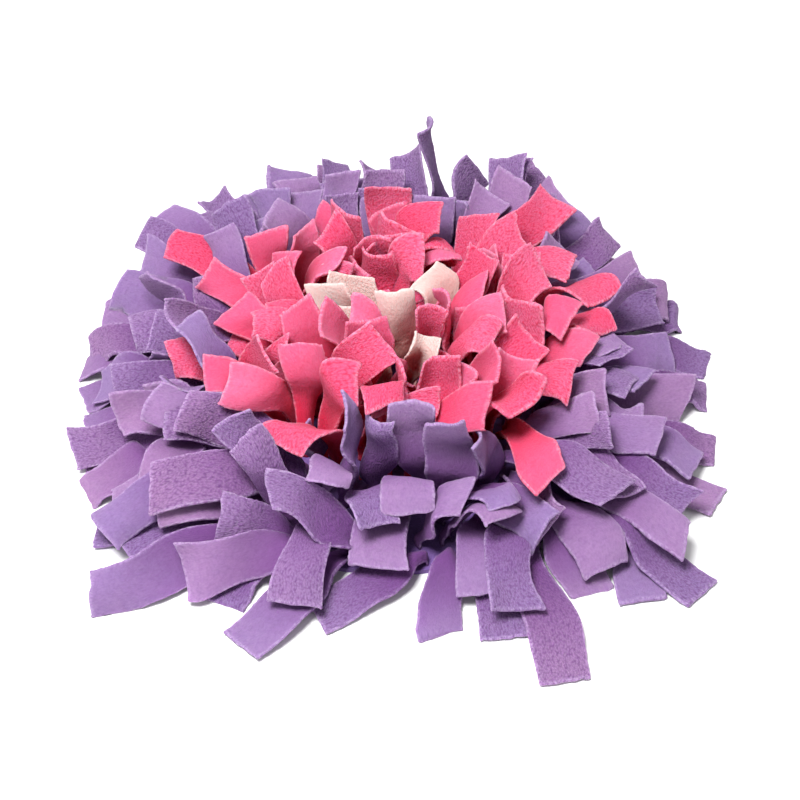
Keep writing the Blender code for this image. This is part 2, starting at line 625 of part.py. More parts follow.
def frame_quads(outer, inner, places):
    """Four quads between a cell's corners and a strip's root, both as indices, turned to match."""
    middle = sum(places[k] for k in inner) / 4
    inner = sorted(inner, key=lambda k: math.atan2(places[k][1] - middle[1], places[k][0] - middle[0]))
    outer = sorted(outer, key=lambda k: math.atan2(places[k][1] - middle[1], places[k][0] - middle[0]))
    turns = [inner[k:] + inner[:k] for k in range(4)]
    best = min(turns, key=lambda turn: sum(math.dist(places[a], places[b]) for a, b in zip(outer, turn)))
    return [(outer[k], outer[(k + 1) % 4], best[(k + 1) % 4], best[k]) for k in range(4)]


def add_ring(row, laid, material):
    """The band of one ring of knots with its strips, as one closed mesh."""
    count = ROWS[row].knots
    radius = FIRST_RADIUS + row * RING_PITCH
    reach = ((radius + BAND_HALF, BAND_BOTTOM), (radius + BAND_HALF, BAND_TOP),
             ((radius - BAND_HALF) / math.cos(math.pi / count), BAND_TOP),
             ((radius - BAND_HALF) / math.cos(math.pi / count), BAND_BOTTOM))
    places, faces = [], []
    for order, knot in enumerate(knots_of(row)):
        edge = knot.angle - math.pi / count
        places += [np.array([r * math.cos(edge), r * math.sin(edge), z]) for r, z in reach]
    shape_at = {knot.order: (knot, shape) for knot, shape in laid if knot.row == row}
    for order in range(count):
        here, there = 4 * order, 4 * ((order + 1) % count)
        faces += [(here + a, there + a, there + b, here + b) for a, b in ((0, 1), (2, 3), (3, 0))]
        cell = [here + 1, there + 1, there + 2, here + 2]
        if order not in shape_at:
            faces.append(cell)
            continue
        start = len(places)
        places += list(strip_corners(*shape_at[order]).reshape(-1, 3))
        faces += frame_quads(cell, [start + k for k in range(4)], places)
        faces += [tuple(start + k for k in triangle) for triangle in FLAT_TRIANGLES]
    mesh = bpy.data.meshes.new(ROWS[row].name)
    mesh.from_pydata([tuple(place) for place in places], [], faces)
    shell = bmesh.new()
    shell.from_mesh(mesh)
    bmesh.ops.recalc_face_normals(shell, faces=shell.faces)
    shell.to_mesh(mesh)
    shell.free()
    mesh.materials.append(material)
    ring = bpy.data.objects.new("ring_" + ROWS[row].name, mesh)
    bpy.context.scene.collection.objects.link(ring)


def add_base():
    """The round felt base that the knots are tied through."""
    mesh = bpy.data.meshes.new("base_mat")
    disc = bmesh.new()
    bmesh.ops.create_cone(disc, cap_ends=True, segments=BASE_SIDES, radius1=BASE_RADIUS,
                          radius2=BASE_RADIUS, depth=BASE_THICK)
    disc.to_mesh(mesh)
    disc.free()
    mesh.shade_smooth()
    mesh.set_sharp_from_angle(angle=math.radians(40))
    mesh.materials.append(felt())
    base = bpy.data.objects.new("base_mat", mesh)
    base.location.z = BASE_THICK / 2
    bpy.context.scene.collection.objects.link(base)


def main():
    for old in list(bpy.data.objects):
        bpy.data.objects.remove(old)
    add_base()
    materials = {colour: fleece(colour) for colour in COLOURS}
    laid = lay_strips()
    for row, ring in enumerate(ROWS):
        add_ring(row, laid, materials[ring.colour])


main()
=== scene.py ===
"""A snuffle mat: soft fleece strips in rings on a round felt base, laid as the solids are."""

import math
import random
from collections import namedtuple

import bpy
import numpy as np
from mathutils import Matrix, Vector
from mathutils.bvhtree import BVHTree


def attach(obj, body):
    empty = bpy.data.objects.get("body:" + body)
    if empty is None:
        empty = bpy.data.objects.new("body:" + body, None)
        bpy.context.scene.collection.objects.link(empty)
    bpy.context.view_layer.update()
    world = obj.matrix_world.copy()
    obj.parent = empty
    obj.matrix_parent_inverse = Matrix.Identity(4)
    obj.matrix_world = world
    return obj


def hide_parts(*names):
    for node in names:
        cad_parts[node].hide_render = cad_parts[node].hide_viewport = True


SEED = 5
MM = 0.001

# Base and bands, in metres
BASE_RADIUS = 0.159
BASE_THICK = 0.003
AIR = 0.0003  # between two pieces that lie on each other
BAND_BOTTOM = BASE_THICK + AIR
BAND_TOP = BAND_BOTTOM + 0.004
FIRST_RADIUS = 0.0125
RING_PITCH = 0.0139

# Strips, in metres
STRIP_WIDTH = 0.028
STRIP_THICK = 0.0016
ROOT_WIDTH = 0.0085  # where a strip is gathered in its knot
ROOT_THICK = 0.0045
SHORT_LENGTH = (40, 74)  # in millimetres, for a knot with little room
SHORTEST = 0.050
SHORTEST_OF_ALL = 0.035
LONGEST = 0.118

# How strips lie
OVER_BANDS = BAND_TOP + 0.0008  # lowest a strip lies over the base
RIM_CLEAR = 0.002  # how far past the rim a strip starts to come down
RIM_SLOPE = 0.014  # the way in which it comes down to the floor
KNOT_SHARE = 0.22  # share of the length that the knot holds up
TURNED_SHARE = 0.7  # share of the length at which a strip has the roll of its end
LEVEL_HEIGHT = 0.012  # below this height above what it lies on, a strip turns level
LANDING = 0.005  # height over which it bends as it lands
REST = 0.00025  # slack under a strip that has landed
ROOM = 0.0005  # least gap between strips
PRESS = 0.001  # how far a curled strip gives way where it presses on another
LOW_END = 4  # in millimetres, a placed end under this lies on the floor
CURL_FADE = 0.3  # share of its curl that a strip gives up to find room
SLIGHT_CURL = 18  # the most that a placed strip with no curl of its own has
TALLEST = 0.087  # the most that a strip that isn't placed may rise
FRONT_DROP = 0.030  # by how much less the outer strips may rise at the front
TOWARDS_EYE = (0.0, -0.743, 0.669)  # the mat is looked at from the front and above
MARK_BACK = 0.008  # how far behind its end a placed strip is marked
COVER = 0.009  # how near a mark's line to the eye no other strip may pass
SIGHT_FROM = 8  # the first of the FINE shares that can cover a mark
DROOP = 22  # degrees by which the outer strips hang lower at the front than at the back
STEEPEST = -85  # degrees, the steepest that a strip's end hangs

# Shares of the length at which a strip is measured and tested
FINE = tuple(i / 24 for i in range(25))
FLAT_SHARES = (0.0, 0.15, 0.34, 0.55, 0.77, 1.0)
CURLED_SHARES = (0.13, 0.25, 0.37, 0.49, 0.61, 0.73, 0.87, 1.0)
CURLED_ACROSS = 4

TRIES = 50  # shapes tried at a knot for a placed strip
KNOTS_TRIED = 20
FILL_TRIES = 300
MERGE_EVERY = 10  # strips laid before the search tree is renewed
NEAR = 0.030  # how far apart the knots of strips that lie alike may be

# What makes a knot suit a placed end, in millimetres and degrees
OFF_LINE = 9
STEEP = 50  # above this pitch the end's line matters less
STEEP_SHARE = 0.3
FLOOR_FAR, FLOOR_SPREAD, RIM_SPREAD = 72, 24, 14
LIFTED_FAR, LIFTED_SPREAD = 80, 12
LEAST_ALONG, BACKWARD_SPREAD = 12, 6.3
CROWN, OUTWARD, INWARD_SPREAD = 85, 6, 7  # strips that end past the crown start nearer the middle
FAR_LIMITS, OUT_OF_REACH = (45, 112), 100

# Rings of knots from the middle out. Angles are in degrees: the pitch of a strip's end above level,
# how far its end and its lean may turn from straight outwards, its roll, and its lean at the knot.
# Then come the length of a strip that isn't placed and how far from the middle it may reach, in
# millimetres, its curl, and the share of the length at which it has opened to its full width.
Row = namedtuple("Row", "name colour knots pitch end_turn lean_turn roll lean length reach curl opening")
ROWS = (
    Row("cream_1", "cream", 6, (45, 95), 180, 60, 85, (2, 12), (70, 86), 70, (5, 90), 0.85),
    Row("pink_1", "pink", 13, (40, 95), 180, 120, 85, (2, 12), (70, 88), 85, (5, 100), 0.85),
    Row("pink_2", "pink", 19, (35, 95), 180, 110, 85, (2, 13), (70, 88), 95, (5, 100), 0.85),
    Row("pink_3", "pink", 25, (30, 90), 180, 90, 85, (3, 14), (70, 90), 105, (5, 100), 0.85),
    Row("pink_4", "pink", 31, (20, 90), 150, 80, 85, (4, 16), (70, 92), 114, (5, 95), 0.85),
    Row("pink_5", "pink", 37, (0, 85), 110, 70, 85, (4, 20), (72, 94), 124, (5, 85), 0.8),
    Row("purple_1", "purple", 41, (-10, 70), 70, 50, 75, (6, 26), (80, 98), 146, (5, 65), 0.65),
    Row("purple_2", "purple", 46, (-25, 55), 50, 42, 60, (10, 32), (84, 100), 168, (8, 50), 0.6),
    Row("purple_3", "purple", 51, (-35, 35), 42, 38, 50, (16, 42), (86, 100), 188, (6, 36), 0.55),
    Row("purple_4", "purple", 58, (-65, -10), 34, 32, 38, (28, 54), (82, 98), 203, (5, 28), 0.5),
    Row("purple_5", "purple", 65, (-85, -45), 28, 26, 28, (30, 56), (72, 90), 209, (4, 24), 0.5),
)

# Ends of strips placed one by one, the most telling first: the middle of the end in millimetres,
# then its heading, pitch and roll in degrees, its curl where it is curled like a gutter or an arch,
# and its opening where it opens sooner than the others of its ring.
End = namedtuple("End", "colour x y z heading pitch roll curl opening", defaults=(0, None))
PLACED = (
    # Cream strips in the middle
    End("cream", -41, 15, 78, 105, 65, -20, 40),
    End("cream", -26, 20, 80, 80, 55, 20, 30),
    End("cream", 21, -36, 78, 70, 20, 0, 75),
    End("cream", 4, -1, 82, 95, 65, 10, -25),
    End("cream", 11, 25, 80, 150, 20, -20, 20),
    # Pink strips around them
    End("pink", 1, -93, 72, -65, -45, 0, 8),
    End("pink", -11, -43, 80, 20, 30, 40, 20),
    End("pink", -24, -81, 78, -12, -5, 45, 15),
    End("pink", -55, -46, 80, 100, 50, 0, -40),
    End("pink", 13, 37, 82, -10, -5, 35, -15),
    End("pink", 52, 36, 82, 40, 25, 15, 20),
    End("pink", 54, 43, 84, 90, 75, 0, 85),
    End("pink", 26, 37, 80, -80, -10, 0, -70),
    End("pink", 30, 63, 80, 0, -5, 20, -30),
    End("pink", 71, -20, 84, 0, -5, 30, 10),
    End("pink", 52, 16, 78, 0, 0, 20, -15),
    End("pink", 62, -38, 76, -20, -20, 10, -50),
    End("pink", 57, -96, 78, -10, -5, 30, 15),
    End("pink", 75, -89, 76, -40, -10, 0, 70),
    End("pink", 74, -57, 80, 45, 40, 0, 70),
    End("pink", 86, 42, 80, 60, 45, -10, 50),
    End("pink", 115, 54, 62, -25, -5, 20, 10),
    End("pink", 105, -11, 72, -35, -10, 20, 10),
    End("pink", 121, -5, 60, -55, -20, 10, 10),
    End("pink", 131, 16, 56, -50, -15, 20, 10),
    End("pink", 86, -7, 78, 80, 50, 0, 60),
    End("pink", 120, -34, 60, -15, -10, 35, 5),
    End("pink", 88, -29, 76, 30, 20, 20, 40),
    End("pink", 100, -57, 68, -20, -15, 20, -30),
    End("pink", -85, -14, 72, 190, -10, -30, -50),
    End("pink", -108, 16, 58, 150, 0, -30, 10),
    End("pink", -35, 29, 82, -30, 10, 20, 60),
    End("pink", -79, 25, 84, 140, 50, -30, 15),
    End("pink", -46, 64, 84, 140, 35, -10, 20),
    End("pink", 27, -54, 78, 80, 55, 0, 75),
    End("pink", -26, -16, 78, 190, 10, -20, 40),
    End("pink", 40, -63, 80, 60, 50, 0, 70),
    End("pink", -18, -33, 84, 100, 75, 10, 50),
    End("pink", -40, -21, 82, 200, 60, -20, 60),
    End("pink", -58, -12, 84, 150, 60, -50, 50),
    End("pink", -3, 114, 80, 88, 72, 0, -10),
    End("pink", 112, 110, 76, 42, 12, 40, 8),
    End("pink", -86, 67, 84, 130, 55, -30, 10),
    End("pink", -144, 86, 52, 148, 5, -30, 10),
    End("pink", -108, 5, 56, 170, 0, -30, 20),
    End("pink", -144, -19, 42, 183, -8, -42, 10),
    End("pink", -115, -49, 58, 178, 0, -30, 20),
    End("pink", -94, -74, 70, 180, 15, -45, -30),
    End("pink", 93, -127, 46, -52, -15, 12, 10),
    End("pink", 56, 81, 80, 70, 45, 0, 40),
    End("pink", -4, -103, 80, -75, -20, 0, 15),
    End("pink", -64, -119, 62, -115, -35, 0, 10),
    End("pink", 62, -68, 84, -40, 60, 40, 60),
    End("pink", 94, 28, 82, 30, 10, 30, 40),
    End("pink", 84, 69, 78, 20, 30, 30, 15),
    End("pink", -124, 52, 58, 150, 20, -40, 10),
    End("pink", -62, 66, 84, 120, 70, 10, 40),
    # Purple strips standing in front
    End("purple", 13, -103, 84, -90, 98, 3, 0, 0.4),
    End("purple", 33, -110, 78, -80, 85, 25, 0, 0.4),
    End("purple", 45, -112, 74, -70, 75, 30, 0, 0.4),
    End("purple", -10, -105, 80, -90, 92, -10, 25, 0.4),
    End("purple", -26, -102, 82, -110, 80, -65, 30, 0.45),
    # Purple strips down the front, those on the floor first
    End("purple", 95, -239, 1, -87, 0, 0),
    End("purple", 65, -206, 1, -87, 0, 0),
    End("purple", 143, -180, 1, -90, 0, 0),
    End("purple", -41, -191, 2, 212, 0, 0),
    End("purple", -83, -215, 2, 225, 0, 0),
    End("purple", -169, -186, 11, 183, -3, -45),
    End("purple", 176, -163, 1, -42, 0, 0),
    End("purple", -3, -160, 40, -80, -30, 0),
    End("purple", 196, -103, 1, -28, 0, 0),
    End("purple", 68, -196, 12, -88, -20, 0),
    End("purple", 53, -187, 8, -92, -15, 0),
    End("purple", -7, -168, 22, -92, -30, 0),
    End("purple", -50, -196, 14, -97, -28, 0),
    End("purple", -116, -172, 20, 178, -5, -42),
    End("purple", -69, -140, 52, 168, 8, -45),
    End("purple", -97, -145, 36, 172, 0, -45),
    End("purple", 122, -164, 12, -62, -25, 0),
    End("purple", 172, -119, 12, -38, -15, 0),
    End("purple", 94, -156, 32, -40, -15, 20),
    End("purple", 13, -152, 42, -80, -35, 5, -15),
    End("purple", 42, -145, 52, -8, 0, 15, 0),
    End("purple", 66, -149, 50, -60, -40, 0, -30),
    End("purple", -34, -142, 62, -100, -20, 0, -20),
    End("purple", 92, -153, 30, -30, -25, 10, 15),
    End("purple", 158, -143, 10, -38, -18, 0),
    End("purple", -84, -122, 66, 140, 30, -40, -50),
    End("purple", -147, -150, 14, 215, -10, -10),
    End("purple", -132, -132, 32, 195, -10, -35),
    # Purple strips on the right
    End("purple", 118, -79, 60, -5, 18, 40),
    End("purple", 125, -132, 36, -38, -15, 15),
    End("purple", 157, -79, 30, -15, -10, 20),
    End("purple", 151, -41, 40, -20, 0, 0),
    End("purple", 182, -25, 12, -3, -8, 30),
    End("purple", 185, 21, 14, 8, -10, 25),
    End("purple", 178, 57, 22, 15, -8, 30),
    End("purple", 167, 97, 25, 32, -5, 30),
    # Purple strips at the back
    End("purple", 146, 125, 35, 40, 10, 25),
    End("purple", 133, 149, 42, 48, 10, 30),
    End("purple", 106, 167, 58, 45, 15, 45),
    End("purple", 74, 164, 60, 60, 20, 60),
    End("purple", 29, 157, 97, 80, 85, 80),
    End("purple", -12, 146, 75, 92, 65, 0),
    End("purple", -38, 126, 70, 95, 60, 0),
    End("purple", 22, 115, 72, 85, 70, 0),
    End("purple", -88, 143, 60, 110, 45, -10),
    End("purple", -43, 190, 55, 105, 20, 20),
    End("purple", -9, 183, 58, 95, 30, 30),
    End("purple", 14, 171, 62, 80, 40, -30),
    End("purple", -73, 140, 64, 100, 55, 0),
    # Purple strips on the left
    End("purple", -127, 169, 38, 128, 5, -20),
    End("purple", -161, 143, 38, 138, 0, -25),
    End("purple", -173, 124, 34, 145, -5, -30),
    End("purple", -168, 101, 26, 152, -10, -20),
    End("purple", -183, 76, 22, 160, -5, -25),
    End("purple", -195, 56, 14, 165, -10, -30),
    End("purple", -156, 10, 42, 170, -5, -30),
    End("purple", -171, 17, 32, 172, -10, -30),
    End("purple", -183, -18, 20, 178, -10, -30),
    End("purple", -196, -65, 13, 188, -12, -30),
    End("purple", -169, -62, 34, 187, -12, -30),
    End("purple", -134, -78, 50, 182, -5, -35),
    End("purple", -166, -113, 14, 195, -15, -25),
    End("purple", -156, -143, 9, 210, -15, -15),
    End("purple", -135, -132, 36, 190, -10, -40),
    End("purple", -116, -75, 60, 170, 10, -60),
    End("purple", -83, -110, 66, 150, 60, -40),
    End("purple", -174, -125, 1, 180, 0, 0),
)

# Cloth of the fine strips, in metres
CLOTH_THICK = 0.0019
EDGE_ROUND = 0.0007  # how far a cut edge is rounded
FOOT = BASE_THICK - 0.0002  # where a strip comes out of the felt
ACROSS = (-1.0, -0.92, -0.70, -0.42, -0.14, 0.14, 0.42, 0.70, 0.92, 1.0)  # shares of half the width
EDGE_TURNS = (50, 0, -50)  # degrees round a cut edge
STATIONS = tuple(0.98 * i / 37 for i in range(38)) + (1.0,)  # shares of the length with a ring of points
FREE_SHARE = 0.4  # share of the length from which the cloth is free to wave
WAVE = 0.0015  # height of the wave along a strip
FLUTTER = 0.0012  # height of the waves that turn against each other at its two edges
EAR = 0.0032  # spread of how far the corners of the cut end lift
EAR_SHARE = 0.68  # share of the length from which they lift
RAGGED = 0.00014  # spread by which the points stray
UNEVEN, UNEVEN_TURNS = 0.02, 1.7  # share by which the width varies, and how often along a strip
FOLD_DEPTH = 1.35  # how deep the gathered cloth folds at the knot, in its extra thicknesses
FOOT_SPREAD = 0.12  # how much wider a strip is in the felt

# The slow sway that neighbouring strips share
SWAY_WAVES = 12
SWAY_LENGTHS = (0.075, 0.055, 0.042)  # in metres
SWAY_SHARE = 0.028  # share of its wavelength by which a wave moves the cloth
SWAY_HEIGHT = 0.015  # height above what lies under a strip at which it sways fully

# What is marked on the points of a strip
MARKS = ("nubby", "edge", "low", "tone")
SHADE_RISE = 1.6  # how late along its length a strip turns from the painted shade at its root to its own colour
ROOT_SHADE = 0.95  # how much painted shade darkens a strip at its root, down between the strips

# Colours of the fleece, linear: its cooler and its warmer tone, then the painted shade down between its
# nubs (also its own dark flecks and mottle), the painted highlight at its cut edges and the painted shade
# near its root
Tint = namedtuple("Tint", "cool warm deep edge root")
TINTS = {
    "purple": Tint((0.230, 0.155, 0.333), (0.33, 0.185, 0.345), (0.095, 0.028, 0.135), (0.46, 0.36, 0.54),
                   (0.13, 0.036, 0.175)),
    "pink": Tint((0.64, 0.155, 0.29), (0.62, 0.085, 0.19), (0.50, 0.002, 0.035), (0.80, 0.37, 0.48),
                 (0.60, 0.001, 0.035)),
    "cream": Tint((0.66, 0.505, 0.485), (0.66, 0.48, 0.45), (0.56, 0.33, 0.30), (0.76, 0.62, 0.60),
                  (0.62, 0.19, 0.17)),
}
# How far red, green and blue light travel inside the fleece, in metres
REACH = {
    "purple": (0.0040, 0.0022, 0.0045),
    "pink": (0.0070, 0.0012, 0.0020),
    "cream": (0.0070, 0.0030, 0.0028),
}
SOFT_SHARE = 0.5  # share of the light that travels inside the fleece before it comes out
FELT_LIGHT, FELT_DARK = (0.20, 0.11, 0.34, 1.0), (0.10, 0.05, 0.18, 1.0)

# Textures of the fleece, in spots per metre, and how much each of them shows
NUBS, GRAIN, MOTTLE, PATCHES = 980.0, 700.0, 300.0, 60.0
NAP_STRETCH = (1.0, 0.6, 1.0)  # the nubs are longer along a strip
WARM_BY_TONE, WARM_BY_PATCH = 0.75, 0.3  # shares of the warm tint
NUB_GAP_SHADE, DEEP_FLECKS, DEEP_MOTTLE = 0.42, 0.26, 0.12  # shares of the deep tint: painted shade between the nubs, then the cloth's own dark flecks and mottle
BRUSHED = 0.30  # how much of the nubs shows on the brushed face
EDGE_HIGHLIGHT = (0.02, 0.48)  # least and most of the painted highlight, in the edge tint, at a cut edge
NAP_HEIGHT = 0.0009  # in metres
SHEEN = 0.16

# Studio, in metres and watts
KEY_PLACE, KEY_POWER, KEY_SIZE = (-0.28, -0.46, 1.24), 29, 0.45
SKY = 0.49
FLOOR_REACH, FLOOR_DROP = 4.0, 0.0002
AIM, ELEVATION, DISTANCE = (0.004, 0.0, -0.007), 42, 1.06  # the camera's, with the elevation in degrees
PICTURE_WIDTH = 0.522876  # what the picture spans at the aim

Knot = namedtuple("Knot", "row order angle root")
# A strip's shape: the middle of its end, the heading, pitch and roll there, its lean and the way it
# leans at the knot, its roll there, its width, its curl across (1 / m), the slant of its cut and the
# share of the length at which it has its full width.
Shape = namedtuple("Shape", "tip heading pitch roll lean way root_roll width curl cut opening")
Frames = namedtuple("Frames", "points sides normals tangents")


def smooth(x):
    x = np.clip(x, 0.0, 1.0)
    return x * x * (3 - 2 * x)


def unit(vectors):
    return vectors / np.linalg.norm(vectors, axis=-1, keepdims=True)


def direction(heading, pitch):
    level = np.cos(pitch)
    return np.stack([level * np.cos(heading), level * np.sin(heading), np.sin(pitch)], -1)


def knots_of(row):
    """The knots of a ring, each ring turned half a knot against the last."""
    radius = FIRST_RADIUS + row * RING_PITCH
    count = ROWS[row].knots
    found = []
    for order in range(count):
        angle = math.tau * (order + 0.5 * (row % 2)) / count
        root = np.array([radius * math.cos(angle), radius * math.sin(angle), BAND_TOP])
        found.append(Knot(row, order, angle, root))
    return found


def section(share, width, opening):
    """A strip's width and thickness at a share of its length."""
    opened = smooth(share / opening)
    return ROOT_WIDTH + (width - ROOT_WIDTH) * opened, ROOT_THICK + (STRIP_THICK - ROOT_THICK) * opened


def frames_of(root, shapes, shares=FINE):
    """The middle lines of shapes that start at one root, each with its sides, normals and tangents."""
    share = np.array(shares)[None, :]
    t = share[..., None]
    tip = shapes.tip[:, None]
    first = direction(shapes.way, math.pi / 2 - shapes.lean)[:, None]
    last = direction(shapes.heading, shapes.pitch)[:, None]
    half = np.maximum(np.arccos(np.clip((first * last).sum(-1), -1, 1)) / 2, 0.05)[..., None]
    size = np.linalg.norm(tip - root, axis=-1, keepdims=True) * half / np.sin(half)
    points = (2 * t**3 - 3 * t**2 + 1) * root + (t**3 - 2 * t**2 + t) * size * first
    points += (3 * t**2 - 2 * t**3) * tip + (t**3 - t**2) * size * last
    tangents = (6 * t**2 - 6 * t) * (root - tip) + (3 * t**2 - 4 * t + 1) * size * first
    tangents = unit(tangents + (3 * t**2 - 2 * t) * size * last)

    radius = np.hypot(points[..., 0], points[..., 1])
    ground = OVER_BANDS * smooth((BASE_RADIUS + RIM_CLEAR + RIM_SLOPE - radius) / RIM_SLOPE)
    level = np.where(share > KNOT_SHARE, smooth((points[..., 2] - ground) / LEVEL_HEIGHT), 1.0)
    blend = smooth(share / TURNED_SHARE)
    roll = level * (shapes.root_roll[:, None] * (1 - blend) + shapes.roll[:, None] * blend)
    flat = direction(shapes.heading + math.pi / 2, 0 * shapes.heading)[:, None]

    def rolled(tangents):
        side = unit(flat - tangents * (flat * tangents).sum(-1, keepdims=True))
        up = np.cross(tangents, side)
        turn, lift = np.cos(roll)[..., None], np.sin(roll)[..., None]
        return side * turn + up * lift, up * turn - side * lift

    sides, normals = rolled(tangents)
    width, thick = section(share, shapes.width[:, None], shapes.opening[:, None])
    lowest = REST + ground + np.abs(sides[..., 2]) * width / 2 + np.abs(normals[..., 2]) * thick / 2
    lowest = BAND_TOP + (lowest - BAND_TOP) * smooth(share / KNOT_SHARE)
    over = points[..., 2] - lowest
    landed = np.clip(over + LANDING, 0, 2 * LANDING) ** 2 / (4 * LANDING) + np.maximum(over - LANDING, 0)
    points[..., 2] = lowest + np.where(share > 0, landed, over)
    tangents = unit(np.gradient(points, np.array(shares), axis=1))
    tangents[:, :1] = first
    return Frames(points, *rolled(tangents), tangents)


def at_shares(frames, shares):
    """The frames at these shares of the length."""
    place = np.array(shares) * (len(FINE) - 1)
    before = np.minimum(place.astype(int), len(FINE) - 2)
    part = (place - before)[None, :, None]
    points, *directions = [v[:, before] * (1 - part) + v[:, before + 1] * part for v in frames]
    return Frames(points, *map(unit, directions))


def sections(frames, shares, shapes, across, extra=0.0):
    """Corners of closed ribbons, in a ring at each share: the upper face's, then the lower's back.

    With one face across, a ribbon is flat, and as wide as the curled strip spans."""
    share = np.array(shares)[None, :]
    width, thick = section(share, shapes.width[:, None], shapes.opening[:, None])
    width = width + 2 * extra
    thick = (thick + 2 * extra)[..., None, None]
    u = (np.arange(across + 1) / across - 0.5) * width[..., None]
    bend = np.where(np.abs(shapes.curl) < 1e-3, 1e-3, shapes.curl)[:, None, None]
    span = np.sin(u * bend) / bend
    angle = u * bend * (across > 1)
    middle = (1 - np.cos(angle[..., -1:])) / bend / 2
    along = u * np.tan(shapes.cut)[:, None, None] * smooth((share[..., None] - 0.5) / 0.5)
    along = along + extra * (share[..., None] == 1.0)
    points, sides, normals, tangents = [v[:, :, None] for v in frames]
    centre = points + sides * span[..., None] + tangents * along[..., None]
    centre = centre + normals * ((1 - np.cos(angle)) / bend - middle)[..., None]
    facing = normals * np.cos(angle)[..., None] - sides * np.sin(angle)[..., None]
    return np.concatenate([centre + facing * thick / 2, (centre - facing * thick / 2)[:, :, ::-1]], axis=2)


def ribbon_triangles(rings, across):
    """Triangles of a closed ribbon, its two faces split along the same lines."""
    around = 2 * (across + 1)
    triangles = []
    for ring in range(rings - 1):
        for k in range(around):
            a, b = ring * around + k, ring * around + (k + 1) % around
            if k <= across:
                triangles += [(a, b, b + around), (a, b + around, a + around)]
            else:
                triangles += [(a, b, a + around), (b, b + around, a + around)]
    end = (rings - 1) * around
    for k in range(across):
        a, b, c, d = end + k, end + k + 1, end + around - 2 - k, end + around - 1 - k
        triangles += [(a, b, c), (a, c, d)]
    return triangles


FLAT_TRIANGLES = ribbon_triangles(len(FLAT_SHARES), 1)
CURLED_TRIANGLES = ribbon_triangles(len(CURLED_SHARES), CURLED_ACROSS)


class Pile:
    """The strips laid so far, as flat and as curled ribbons, for telling whether another is clear."""

    def __init__(self):
        self.trees = []
        self.points = ([], [])
        self.triangles = ([], [])

    def clear(self, flat, curled):
        for kind, (points, triangles) in enumerate(((flat, FLAT_TRIANGLES), (curled, CURLED_TRIANGLES))):
            tree = BVHTree.FromPolygons(points, triangles, all_triangles=True)
            if any(tree.overlap(other[kind]) for other in self.trees):
                return False
        return True

    def add(self, flat, curled):
        ribbons = ((flat, FLAT_TRIANGLES), (curled, CURLED_TRIANGLES))
        for kind, (points, triangles) in enumerate(ribbons):
            start = len(self.points[kind])
            self.points[kind].extend(points)
            self.triangles[kind].extend(tuple(start + k for k in triangle) for triangle in triangles)
        self.trees.append([BVHTree.FromPolygons(*ribbon, all_triangles=True) for ribbon in ribbons])
        if len(self.trees) > MERGE_EVERY:
            whole = zip(self.points, self.triangles)
            self.trees = [[BVHTree.FromPolygons(*each, all_triangles=True) for each in whole]]


def cloth(rng, knot, curl):
    """The root roll, width, curl, cut and opening of a strip."""
    root_roll = math.radians(rng.uniform(-25, 25))
    width = STRIP_WIDTH * rng.uniform(0.95, 1.04)
    return root_roll, width, curl, math.radians(rng.uniform(-7, 7)), ROWS[knot.row].opening


def placed_shape(knot, end, rng, worse):
    """A strip from the knot to a placed end, let stray further as the tries go on."""
    stray = 0.4 + 1.6 * worse
    lifted = end.z > LOW_END
    tip = np.array([end.x, end.y, end.z]) + [rng.gauss(0, 3) * stray for _ in range(3)]
    tip[2] = max(tip[2], 1) if lifted else end.z
    tip = tip * MM
    heading = math.radians(end.heading + rng.gauss(0, 6) * stray)
    pitch = math.radians(end.pitch + rng.gauss(0, 5) * stray * lifted)
    roll = math.radians(end.roll + rng.gauss(0, 8) * stray)
    step = tip - knot.root
    way = math.atan2(step[1], step[0])
    lean = math.atan2(math.hypot(step[0], step[1]), max(step[2], 0.004)) * rng.uniform(0.35, 0.75)
    curl = end.curl * rng.uniform(0.8, 1.2) * (1 - CURL_FADE * worse) or rng.uniform(-1, 1) * SLIGHT_CURL
    shape = Shape(tip, heading, pitch, roll, min(lean, math.radians(66)), way, *cloth(rng, knot, curl))
    return shape._replace(opening=end.opening or shape.opening)


def copied_shape(knot, near, rng, worse):
    """A strip that lies along one near it, like a page of the same stack."""
    other, model = rng.choice(near)
    stray = 0.5 + worse
    turn = rng.gauss(0, math.radians(7)) * stray
    away = (model.tip - other.root) * rng.uniform(0.86, 1.04)
    turned = np.array([away[0] * math.cos(turn) - away[1] * math.sin(turn),
                       away[0] * math.sin(turn) + away[1] * math.cos(turn), away[2]])
    tip = knot.root + turned + np.array([rng.gauss(0, 3 * MM) for _ in range(3)]) * stray
    pitch = model.pitch + rng.gauss(0, math.radians(8)) * stray
    roll = model.roll + rng.gauss(0, math.radians(8)) * stray
    lean = abs(model.lean + rng.gauss(0, math.radians(5)) * stray)
    curl = model.curl * rng.uniform(0.8, 1.2)
    return Shape(tip, model.heading + turn, pitch, roll, lean, model.way + turn, *cloth(rng, knot, curl))


def in_front(knot):
    """How far a knot is among the outer ones at the front, from 0 to 1."""
    return max(0.0, -math.sin(knot.angle)) * (ROWS[knot.row].colour == "purple")


